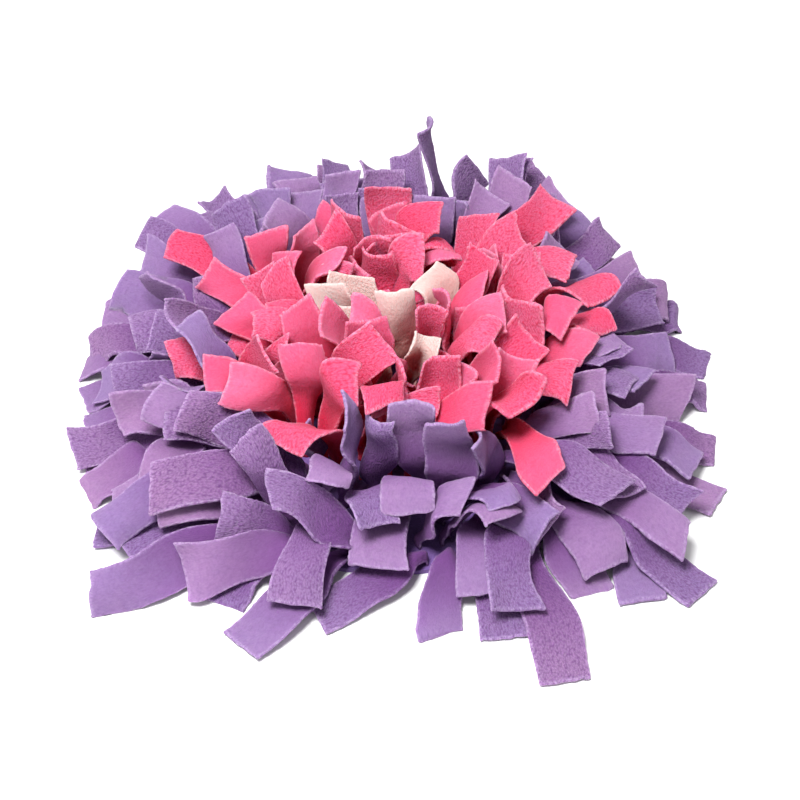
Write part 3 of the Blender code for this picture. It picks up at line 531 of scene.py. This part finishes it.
def free_shape(knot, rng, worse, short):
    """A strip that leans outwards and bends over as its ring does."""
    row = ROWS[knot.row]
    heading = knot.angle + math.radians(rng.uniform(-1, 1) * row.end_turn)
    way = knot.angle + math.radians(rng.uniform(-1, 1) * row.lean_turn)
    pitch = math.radians(max(rng.uniform(*row.pitch) - DROOP * in_front(knot), STEEPEST))
    lean = math.radians(rng.uniform(*row.lean))
    roll = math.radians(rng.uniform(-1, 1) * (90 if short else row.roll))
    length = rng.uniform(*(SHORT_LENGTH if short else row.length)) * MM * (1 - 0.5 * max(0.0, worse - 0.5))
    first, last = direction(way, math.pi / 2 - lean), direction(heading, pitch)
    half = max(math.acos(min(1.0, max(-1.0, float(first @ last)))) / 2, 0.05)
    tip = knot.root + unit(first + last) * length * math.sin(half) / half
    curl = rng.choice((-1, 1)) * rng.uniform(*row.curl) * (1 - CURL_FADE * worse)
    return Shape(tip, heading, pitch, roll, lean, way, *cloth(rng, knot, curl))


def marks_of(laid):
    """A point near the end of each strip laid."""
    return np.array([shape.tip - direction(shape.heading, shape.pitch) * MARK_BACK for _, shape in laid])


def covering(frames, shapes, marks):
    """Whether each shape hides one of the marks from an eye in front of the mat and above it."""
    side = frames.sides[:, SIGHT_FROM:] * shapes.width[:, None, None] / 3
    middle = frames.points[:, SIGHT_FROM:]
    points = np.concatenate([middle - side, middle, middle + side], axis=1)
    eye = np.array(TOWARDS_EYE)
    up = np.array([0.0, eye[2], -eye[1]])
    across = points[..., 0, None] - marks[:, 0]
    above = (points @ up)[..., None] - marks @ up
    nearer = (points @ eye)[..., None] - marks @ eye
    return ((nearer > 0) & (across**2 + above**2 < COVER**2)).any(axis=(1, 2))


def fitting(knot, frames, shapes, marks):
    """Whether each shape suits a ring, reaching and rising no further than it may and covering no mark."""
    points = frames.points
    reach = np.hypot(points[..., 0], points[..., 1]).max(1)
    tallest = TALLEST - FRONT_DROP * in_front(knot)
    fits = (reach < ROWS[knot.row].reach * MM) & (points[..., 2].max(1) < tallest)
    fits[fits] = ~covering(Frames(*(v[fits] for v in frames)), Shape(*(v[fits] for v in shapes)), marks)
    return fits


def first_clear(pile, knot, shapes, shortest, marks=None):
    """The first of the shapes that is clear of the pile, laid on it."""
    stacked = Shape(*(np.array(values) for values in zip(*shapes)))
    frames = frames_of(knot.root, stacked)
    fits = np.ones(len(shapes), bool) if marks is None else fitting(knot, frames, stacked, marks)
    lengths = np.linalg.norm(np.diff(frames.points, axis=1), axis=-1).sum(1)
    flat = sections(at_shares(frames, FLAT_SHARES), FLAT_SHARES, stacked, 1, ROOM / 2)
    curled = at_shares(frames, CURLED_SHARES)
    curled = sections(curled, CURLED_SHARES, stacked, CURLED_ACROSS, -PRESS / 2)
    for k, shape in enumerate(shapes):
        if not (fits[k] and shortest < lengths[k] < LONGEST):
            continue
        ribbons = flat[k].reshape(-1, 3).tolist(), curled[k].reshape(-1, 3).tolist()
        if pile.clear(*ribbons):
            pile.add(*ribbons)
            return shape
    return None


def misfit(knot, end):
    """How badly a knot suits a placed end, by its distance and how far it lies off the end's line."""
    step = np.array([end.x, end.y, end.z]) - knot.root / MM
    far = float(np.linalg.norm(step))
    heading = math.radians(end.heading)
    off_line = step[0] * math.sin(heading) - step[1] * math.cos(heading)
    along = step[0] * math.cos(heading) + step[1] * math.sin(heading)
    steep = abs(end.pitch) > STEEP
    cost = (off_line / OFF_LINE) ** 2 * (STEEP_SHARE if steep else 1)
    if end.z < LOW_END:
        rim = FIRST_RADIUS + (len(ROWS) - 1) * RING_PITCH
        inside = (rim - math.hypot(*knot.root[:2])) / MM
        cost += ((far - FLOOR_FAR) / FLOOR_SPREAD) ** 2 + (inside / RIM_SPREAD) ** 2
    else:
        cost += ((far - LIFTED_FAR) / LIFTED_SPREAD) ** 2
    if not steep and along < LEAST_ALONG:
        cost += ((LEAST_ALONG - along) / BACKWARD_SPREAD) ** 2
    if math.hypot(end.x, end.y) > CROWN:
        outside = math.hypot(*knot.root[:2]) / MM - math.hypot(end.x, end.y)
        cost += (max(0, outside + OUTWARD) / INWARD_SPREAD) ** 2
    return cost + (0 if FAR_LIMITS[0] < far < FAR_LIMITS[1] else OUT_OF_REACH)


def spread(count):
    return [k / count for k in range(count)]


def lay_strips():
    """Every strip as (knot, shape): the placed ones, then the rest from the rim inwards."""
    pile = Pile()
    laid = []
    free = [knot for row in range(len(ROWS)) for knot in knots_of(row)]
    for end in PLACED:
        suited = [knot for knot in free if ROWS[knot.row].colour == end.colour]
        for knot in sorted(suited, key=lambda knot: misfit(knot, end))[:KNOTS_TRIED]:
            rng = random.Random(SEED * 10007 + end.x * 401 + end.y * 53 + end.z)
            shapes = [placed_shape(knot, end, rng, worse) for worse in spread(TRIES)]
            shape = first_clear(pile, knot, shapes, SHORTEST)
            if shape:
                laid.append((knot, shape))
                free = [other for other in free if other is not knot]
                break
    marks = marks_of(laid)
    tight = []
    for knot in sorted(free, key=lambda knot: (-knot.row, knot.angle)):
        rng = random.Random(SEED * 7919 + knot.row * 1009 + knot.order)
        near = [pair for pair in laid if ROWS[pair[0].row].colour == ROWS[knot.row].colour
                and math.dist(pair[0].root, knot.root) < NEAR]
        shapes = [copied_shape(knot, near, rng, worse) if near and number % 2 else
                  free_shape(knot, rng, worse, False) for number, worse in enumerate(spread(FILL_TRIES))]
        shape = first_clear(pile, knot, shapes, SHORTEST, marks)
        if shape:
            laid.append((knot, shape))
        else:
            tight.append(knot)
    for knot in tight:
        rng = random.Random(SEED * 7919 + knot.row * 1009 + knot.order + 5)
        shapes = [free_shape(knot, rng, worse, True) for worse in spread(FILL_TRIES)]
        shape = first_clear(pile, knot, shapes, SHORTEST_OF_ALL, marks)
        if shape:
            laid.append((knot, shape))
    return laid


def ground_under(points):
    """Height of what lies under each point: the floor, or the bands over the base."""
    radius = np.hypot(points[..., 0], points[..., 1])
    return OVER_BANDS * smooth((BASE_RADIUS + RIM_CLEAR + RIM_SLOPE - radius) / RIM_SLOPE)


def sway_waves():
    """The waves of the slow sway that neighbouring strips share: wave vectors, directions and phases."""
    rng = random.Random(SEED)
    vectors, ways, phases = [], [], []
    for number in range(SWAY_WAVES):
        length = SWAY_LENGTHS[number % len(SWAY_LENGTHS)] * rng.uniform(0.85, 1.15)
        vectors.append(unit(np.array([rng.gauss(0, 1) for _ in range(3)])) * math.tau / length)
        ways.append(unit(np.array([rng.gauss(0, 1) for _ in range(3)])) * length * SWAY_SHARE)
        phases.append(rng.uniform(0, math.tau))
    return np.array(vectors), np.array(ways), np.array(phases)


def swayed(points, waves):
    """Points moved by the sway, which dies out near what the strips lie on."""
    vectors, ways, phases = waves
    over = smooth((points[..., 2] - ground_under(points)) / SWAY_HEIGHT)[..., None]
    return points + over * (np.sin(points @ vectors.T + phases) @ ways)


def cloth_offsets(shape, s, x, u, calm, rng):
    """How far the cloth lies beside its middle line and off that line's plane."""
    def wave(turns):
        return np.sin(math.tau * (turns * s + rng.random()))

    bend = np.where(np.abs(shape.curl * calm) < 1, 1.0, shape.curl * calm)
    off = (1 - np.cos(x * bend)) / bend
    off = off - off.max(-1, keepdims=True) / 2
    fold = np.maximum(section(s, shape.width, shape.opening)[1] - STRIP_THICK, 0) * FOLD_DEPTH
    off = off + math.copysign(1, shape.curl) * fold * (np.abs(u) ** 1.5 - 0.5)
    free = calm * smooth(s / FREE_SHARE)
    off = off + free * WAVE * wave(rng.uniform(0.8, 1.5))
    off = off + free * FLUTTER * (u * wave(rng.uniform(1.2, 2.2)) + u**2 * wave(rng.uniform(1.6, 2.8)))
    ends = free * smooth((s - EAR_SHARE) / (1 - EAR_SHARE))
    left, right = rng.gauss(0, EAR), rng.gauss(0, EAR)
    off = off + ends * (right * np.maximum(u, 0) ** 2 + left * np.maximum(-u, 0) ** 2)
    return np.sin(x * bend) / bend, off


def strip_of_cloth(knot, shape, waves, rng):
    """One strip's rings of points, from its foot in the felt to its cut end."""
    one = Shape(*(np.array([value]) for value in shape))
    points, sides, normals, tangents = (v[0][:, None] for v in frames_of(knot.root, one, STATIONS))
    s = np.array(STATIONS)[:, None]
    u = np.array(ACROSS)[None, :]
    uneven = 1 + UNEVEN * np.sin(math.tau * (UNEVEN_TURNS * s + rng.random()))
    width = section(s, shape.width, shape.opening)[0] * uneven
    x = u * (width / 2 - EDGE_ROUND)
    calm = smooth((points[..., 2] - ground_under(points)) / LEVEL_HEIGHT)
    beside, off = cloth_offsets(shape, s, x, u, calm, rng)
    slope = np.gradient(off, axis=1) / np.gradient(beside, axis=1)
    facing = unit(normals - sides * slope[..., None])
    outward = unit(sides + normals * slope[..., None])
    along = x * math.tan(shape.cut) * smooth((s - 0.5) / 0.5)
    along = along + smooth((s - 0.9) / 0.1) * np.array([[rng.gauss(0, 2 * RAGGED) for _ in ACROSS]])
    middle = points + sides * beside[..., None] + normals * off[..., None] + tangents * along[..., None]
    half = CLOTH_THICK / 2

    def edge(column, way):
        turned = [math.radians(turn) for turn in EDGE_TURNS]
        return np.stack([middle[:, column] + way * outward[:, column] * EDGE_ROUND * math.cos(turn)
                         + facing[:, column] * half * math.sin(turn) for turn in turned], axis=1)

    upper, lower = middle + facing * half, (middle - facing * half)[:, ::-1]
    rings = np.concatenate([upper, edge(-1, 1), lower, edge(0, -1)[:, ::-1]], axis=1)
    jitter = np.array([[[rng.gauss(0, RAGGED) for _ in range(3)] for _ in ring] for ring in rings])
    rings = rings + jitter * smooth(s / 0.3)[..., None]
    rings = swayed(rings, waves)

    # A last ring rounds the cut end, and two below the first reach down to the felt.
    centre = swayed(middle[-1], waves)
    centre = centre[list(range(len(ACROSS))) + [-1] * 3 + list(range(len(ACROSS)))[::-1] + [0] * 3]
    end = centre + (rings[-1] - centre) * 0.5 + tangents[-1] * EDGE_ROUND
    foot = rings[0].copy()
    foot[:, :2] += (foot[:, :2] - knot.root[:2]) * FOOT_SPREAD
    foot[:, 2] = FOOT
    knee = (rings[0] + foot) / 2
    rings = np.concatenate([foot[None], knee[None], rings, end[None]])
    lowest = np.where(np.hypot(rings[..., 0], rings[..., 1]) < BASE_RADIUS + RIM_CLEAR, FOOT, AIR)
    rings[..., 2] = np.maximum(rings[..., 2], lowest)
    return rings


AROUND = 2 * (len(ACROSS) + len(EDGE_TURNS))


def strip_faces(count):
    """Faces of a closed strip with this many rings."""
    faces = []
    for ring in range(count - 1):
        for k in range(AROUND):
            a, b = ring * AROUND + k, ring * AROUND + (k + 1) % AROUND
            faces.append((a, b, b + AROUND, a + AROUND))
    wide, turns = len(ACROSS), len(EDGE_TURNS)
    for first, flip in ((0, True), ((count - 1) * AROUND, False)):
        caps = [(k, k + 1, 2 * wide + turns - 2 - k, 2 * wide + turns - 1 - k) for k in range(wide - 1)]
        caps.append(tuple(range(wide - 1, wide + turns + 1)))
        caps.append(tuple(range(2 * wide + turns - 1, AROUND)) + (0,))
        faces += [tuple(first + k for k in (cap[::-1] if flip else cap)) for cap in caps]
    return faces


def strip_marks(shape, rings, rng):
    """For each point of a strip: its place on the cut cloth, whether it is on the nubby face, whether it
    lies on a cut edge, how low it is on the strip, and the strip's tone."""
    count = len(rings)
    long = np.linalg.norm(np.diff(rings.mean(1), axis=0), axis=1)
    v = np.concatenate([[0], np.cumsum(long)])[:, None] + np.zeros(AROUND)
    across, turns = np.array(ACROSS), np.array([math.radians(turn) for turn in EDGE_TURNS])
    bevel = 1 + 2 * EDGE_ROUND / shape.width * np.cos(turns)
    u = np.concatenate([across, bevel, across[::-1], -bevel[::-1]]) * shape.width / 2
    shift = rng.uniform(0, 8), rng.uniform(0, 8)
    place = np.stack([np.broadcast_to(u, v.shape) + shift[0], v + shift[1]], axis=-1)
    wide = len(ACROSS)
    nubby = np.concatenate([np.ones(wide), np.full(3, 0.5), np.zeros(wide), np.full(3, 0.5)])
    nubby = np.broadcast_to(1 - nubby if rng.random() < 0.5 else nubby, v.shape)
    rim = np.concatenate([[1, 0.1], np.zeros(wide - 4), [0.1, 1], np.ones(3)])
    edge = np.broadcast_to(np.concatenate([rim, rim]), v.shape).copy()
    edge[-2:] = 1
    low = np.concatenate([[1, 1], 1 - smooth(np.array(STATIONS)) ** SHADE_RISE, [0]])
    values = nubby, edge, np.broadcast_to(low[:, None], v.shape), np.full(v.shape, rng.random())
    return place.reshape(-1, 2), *(value.reshape(-1) for value in values)


def add_ring(row, laid, waves, material):
    """One ring of strips as cloth, which stands for the ring's solid."""
    rng = random.Random(SEED * 31 + row)
    places, faces, marks, lengths = [], [], [], []
    for knot, shape in laid:
        if knot.row != row:
            continue
        rings = strip_of_cloth(knot, shape, waves, rng)
        start = len(places) * rings.shape[0] * AROUND
        places.append(rings.reshape(-1, 3))
        faces += [tuple(start + k for k in face) for face in strip_faces(len(rings))]
        marks.append(strip_marks(shape, rings, rng))
        lengths.append(float(np.linalg.norm(np.diff(rings.mean(1), axis=0), axis=1).sum()))
    mesh = bpy.data.meshes.new("strips_" + ROWS[row].name)
    mesh.from_pydata(np.concatenate(places).tolist(), [], faces)
    place, *faces_marks = (np.concatenate(values) for values in zip(*marks))
    for name, values in zip(MARKS, faces_marks):
        mesh.attributes.new(name, "FLOAT", "POINT").data.foreach_set("value", values.astype(np.float32))
    corner = np.empty(len(mesh.loops), np.int32)
    mesh.loops.foreach_get("vertex_index", corner)
    cloth_map = mesh.uv_layers.new(name="cloth")
    cloth_map.data.foreach_set("uv", place[corner].astype(np.float32).reshape(-1))
    mesh.shade_smooth()
    mesh.materials.append(material)
    ring = bpy.data.objects.new("strips_" + ROWS[row].name, mesh)
    bpy.context.scene.collection.objects.link(ring)
    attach(ring, "root")
    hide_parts("ring_" + ROWS[row].name)
    return ring


class Nodes:
    """Adds shader nodes to a material and links them."""

    def __init__(self, name):
        self.material = bpy.data.materials.new(name)
        self.material.use_nodes = True
        self.tree = self.material.node_tree
        self.shader = self.tree.nodes["Principled BSDF"]

    def add(self, kind, inputs=(), **settings):
        node = self.tree.nodes.new("ShaderNode" + kind)
        for name, value in settings.items():
            setattr(node, name, value)
        for name, value in dict(inputs).items():
            self.put(node.inputs[name], value)
        return node

    def put(self, socket, value):
        if isinstance(value, bpy.types.NodeSocket):
            self.tree.links.new(value, socket)
        else:
            socket.default_value = value

    def sum(self, operation, *values):
        node = self.add("Math", operation=operation)
        for socket, value in zip(node.inputs, values):
            self.put(socket, value)
        return node.outputs[0]

    def scale(self, value, low, high, to_low, to_high):
        node = self.add("MapRange", {"Value": value, "From Min": low, "From Max": high,
                                     "To Min": to_low, "To Max": to_high})
        return node.outputs[0]

    def mix(self, share, first, second):
        node = self.add("Mix", data_type="RGBA")
        self.put(node.inputs[0], share)
        self.put(node.inputs[6], first)
        self.put(node.inputs[7], second)
        return node.outputs[2]


def fleece(colour):
    """Fleece: one face with small nubs, the other brushed smooth, with a painted highlight at the cut
    edges and painted shade between the nubs and near the root.
    """
    tint = Tint(*((*value, 1.0) for value in TINTS[colour]))
    nodes = Nodes("fleece_" + colour)
    place = nodes.add("UVMap", uv_map="cloth").outputs[0]
    nubby, edge, low, tone = (nodes.add("Attribute", attribute_name=name).outputs["Fac"] for name in MARKS)
    nap = nodes.add("Mapping", {"Vector": place, "Scale": NAP_STRETCH}).outputs[0]
    nubs = nodes.add("TexVoronoi", {"Vector": nap, "Scale": NUBS, "Smoothness": 0.7, "Randomness": 1.0},
                     voronoi_dimensions="2D", feature="SMOOTH_F1").outputs["Distance"]
    grain = nodes.add("TexNoise", {"Vector": nap, "Scale": GRAIN, "Detail": 4.0, "Roughness": 0.7},
                      noise_dimensions="2D").outputs[0]
    mottle = nodes.add("TexNoise", {"Vector": place, "Scale": MOTTLE, "Detail": 2.0, "Roughness": 0.6},
                       noise_dimensions="2D").outputs[0]
    patches = nodes.add("TexNoise", {"Vector": place, "Scale": PATCHES, "Detail": 3.0, "Roughness": 0.6},
                        noise_dimensions="2D").outputs[0]
    warm = nodes.sum("ADD", nodes.sum("MULTIPLY", tone, WARM_BY_TONE),
                     nodes.sum("MULTIPLY", patches, WARM_BY_PATCH))
    cloth = nodes.mix(warm, tint.cool, tint.warm)
    # Painted shade: the colour darkens towards the root, down between the strips
    cloth = nodes.mix(nodes.sum("MULTIPLY", low, ROOT_SHADE), cloth, tint.root)
    rough = nodes.scale(nubby, 0.0, 1.0, BRUSHED, 1.0)
    # Painted shade down between the nubs, in the deep tint; the flecks and spots after it are the cloth's
    # own darker tone
    nub_gap_shade = nodes.sum("MULTIPLY", nodes.scale(nubs, 0.25, 0.75, 0.0, NUB_GAP_SHADE), rough)
    flecks = nodes.sum("MULTIPLY", nodes.scale(grain, 0.38, 0.62, DEEP_FLECKS, 0.0), rough)
    spots = nodes.scale(mottle, 0.35, 0.7, DEEP_MOTTLE, 0.0)
    cloth = nodes.mix(nodes.sum("ADD", nodes.sum("ADD", nub_gap_shade, flecks), spots), cloth, tint.deep)
    # Painted highlight: a pale line along the cut edges, for light caught by the fuzz there
    edge_highlight = nodes.scale(grain, 0.36, 0.64, *EDGE_HIGHLIGHT)
    cloth = nodes.mix(nodes.sum("MULTIPLY", edge, edge_highlight), cloth, tint.edge)
    nodes.put(nodes.shader.inputs["Base Color"], cloth)
    height = nodes.sum("MULTIPLY", nodes.scale(nubs, 0.0, 0.8, 1.0, 0.0), rough)
    height = nodes.sum("ADD", height, nodes.sum("MULTIPLY", grain, 0.9))
    height = nodes.sum("ADD", height, nodes.sum("MULTIPLY", mottle, 0.5))
    bump = nodes.add("Bump", {"Height": height, "Strength": 0.6, "Distance": NAP_HEIGHT})
    nodes.put(nodes.shader.inputs["Normal"], bump.outputs[0])
    nodes.put(nodes.shader.inputs["Roughness"], nodes.scale(grain, 0.3, 0.7, 0.88, 1.0))
    nodes.put(nodes.shader.inputs["Specular IOR Level"], 0.15)
    nodes.put(nodes.shader.inputs["Subsurface Weight"], SOFT_SHARE)
    nodes.put(nodes.shader.inputs["Subsurface Radius"], REACH[colour])
    nodes.put(nodes.shader.inputs["Subsurface Scale"], 1.0)
    nodes.put(nodes.shader.inputs["Sheen Weight"], SHEEN)
    nodes.put(nodes.shader.inputs["Sheen Roughness"], 0.6)
    nodes.put(nodes.shader.inputs["Sheen Tint"], tint.edge)
    return nodes.material


def felt():
    """The felt of the base, with its matted fibres."""
    nodes = Nodes("felt_base")
    place = nodes.add("TexCoord").outputs["Object"]
    fibres = nodes.add("TexNoise", {"Vector": place, "Scale": 900.0, "Detail": 6.0,
                                    "Roughness": 0.7, "Distortion": 1.5}).outputs[0]
    nodes.put(nodes.shader.inputs["Base Color"],
              nodes.mix(nodes.scale(fibres, 0.35, 0.65, 0.0, 1.0), FELT_DARK, FELT_LIGHT))
    bump = nodes.add("Bump", {"Height": fibres, "Strength": 0.5, "Distance": 0.0006})
    nodes.put(nodes.shader.inputs["Normal"], bump.outputs[0])
    nodes.put(nodes.shader.inputs["Roughness"], 1.0)
    nodes.put(nodes.shader.inputs["Specular IOR Level"], 0.1)
    nodes.put(nodes.shader.inputs["Sheen Weight"], 0.2)
    return nodes.material


def add_light(name, place, energy, size):
    light = bpy.data.lights.new(name, "AREA")
    light.energy = energy
    light.size = size
    lamp = bpy.data.objects.new(name, light)
    lamp.location = place
    lamp.rotation_euler = (-Vector(place)).to_track_quat("-Z", "Y").to_euler()
    bpy.context.scene.collection.objects.link(lamp)


def add_studio():
    """A pale floor, soft light from the upper left, and a camera that looks down from the front."""
    mesh = bpy.data.meshes.new("floor")
    corners = [(x * FLOOR_REACH, y * FLOOR_REACH, 0) for x, y in ((-1, -1), (1, -1), (1, 1), (-1, 1))]
    mesh.from_pydata(corners, [], [(0, 1, 2, 3)])
    nodes = Nodes("floor")
    nodes.put(nodes.shader.inputs["Base Color"], (0.95, 0.95, 0.95, 1.0))
    nodes.put(nodes.shader.inputs["Roughness"], 0.9)
    mesh.materials.append(nodes.material)
    floor = bpy.data.objects.new("floor", mesh)
    floor.location.z = -FLOOR_DROP
    bpy.context.scene.collection.objects.link(floor)

    world = bpy.data.worlds.new("studio")
    world.use_nodes = True
    world.node_tree.nodes["Background"].inputs["Color"].default_value = (1.0, 1.0, 1.0, 1.0)
    world.node_tree.nodes["Background"].inputs["Strength"].default_value = SKY
    bpy.context.scene.world = world
    add_light("key", KEY_PLACE, KEY_POWER, KEY_SIZE)

    lens = bpy.data.cameras.new("camera")
    lens.lens = DISTANCE / PICTURE_WIDTH * lens.sensor_width
    camera = bpy.data.objects.new("camera", lens)
    elevation = math.radians(ELEVATION)
    back = Vector((0, -math.cos(elevation), math.sin(elevation)))
    camera.location = Vector(AIM) + back * DISTANCE
    camera.rotation_euler = (-back).to_track_quat("-Z", "Y").to_euler()
    bpy.context.scene.collection.objects.link(camera)
    bpy.context.scene.camera = camera
    bpy.context.scene.view_settings.view_transform = "Standard"


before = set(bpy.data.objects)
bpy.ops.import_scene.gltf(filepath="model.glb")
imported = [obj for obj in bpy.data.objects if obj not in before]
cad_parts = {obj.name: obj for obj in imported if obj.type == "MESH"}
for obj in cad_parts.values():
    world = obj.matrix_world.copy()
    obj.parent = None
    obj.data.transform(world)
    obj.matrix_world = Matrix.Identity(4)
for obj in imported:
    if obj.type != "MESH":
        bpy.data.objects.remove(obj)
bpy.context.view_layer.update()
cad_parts["base_mat"].data.materials.clear()
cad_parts["base_mat"].data.materials.append(felt())
strips = lay_strips()
sway = sway_waves()
fleeces = {colour: fleece(colour) for colour in TINTS}
for number, ring_row in enumerate(ROWS):
    add_ring(number, strips, sway, fleeces[ring_row.colour])
add_studio()
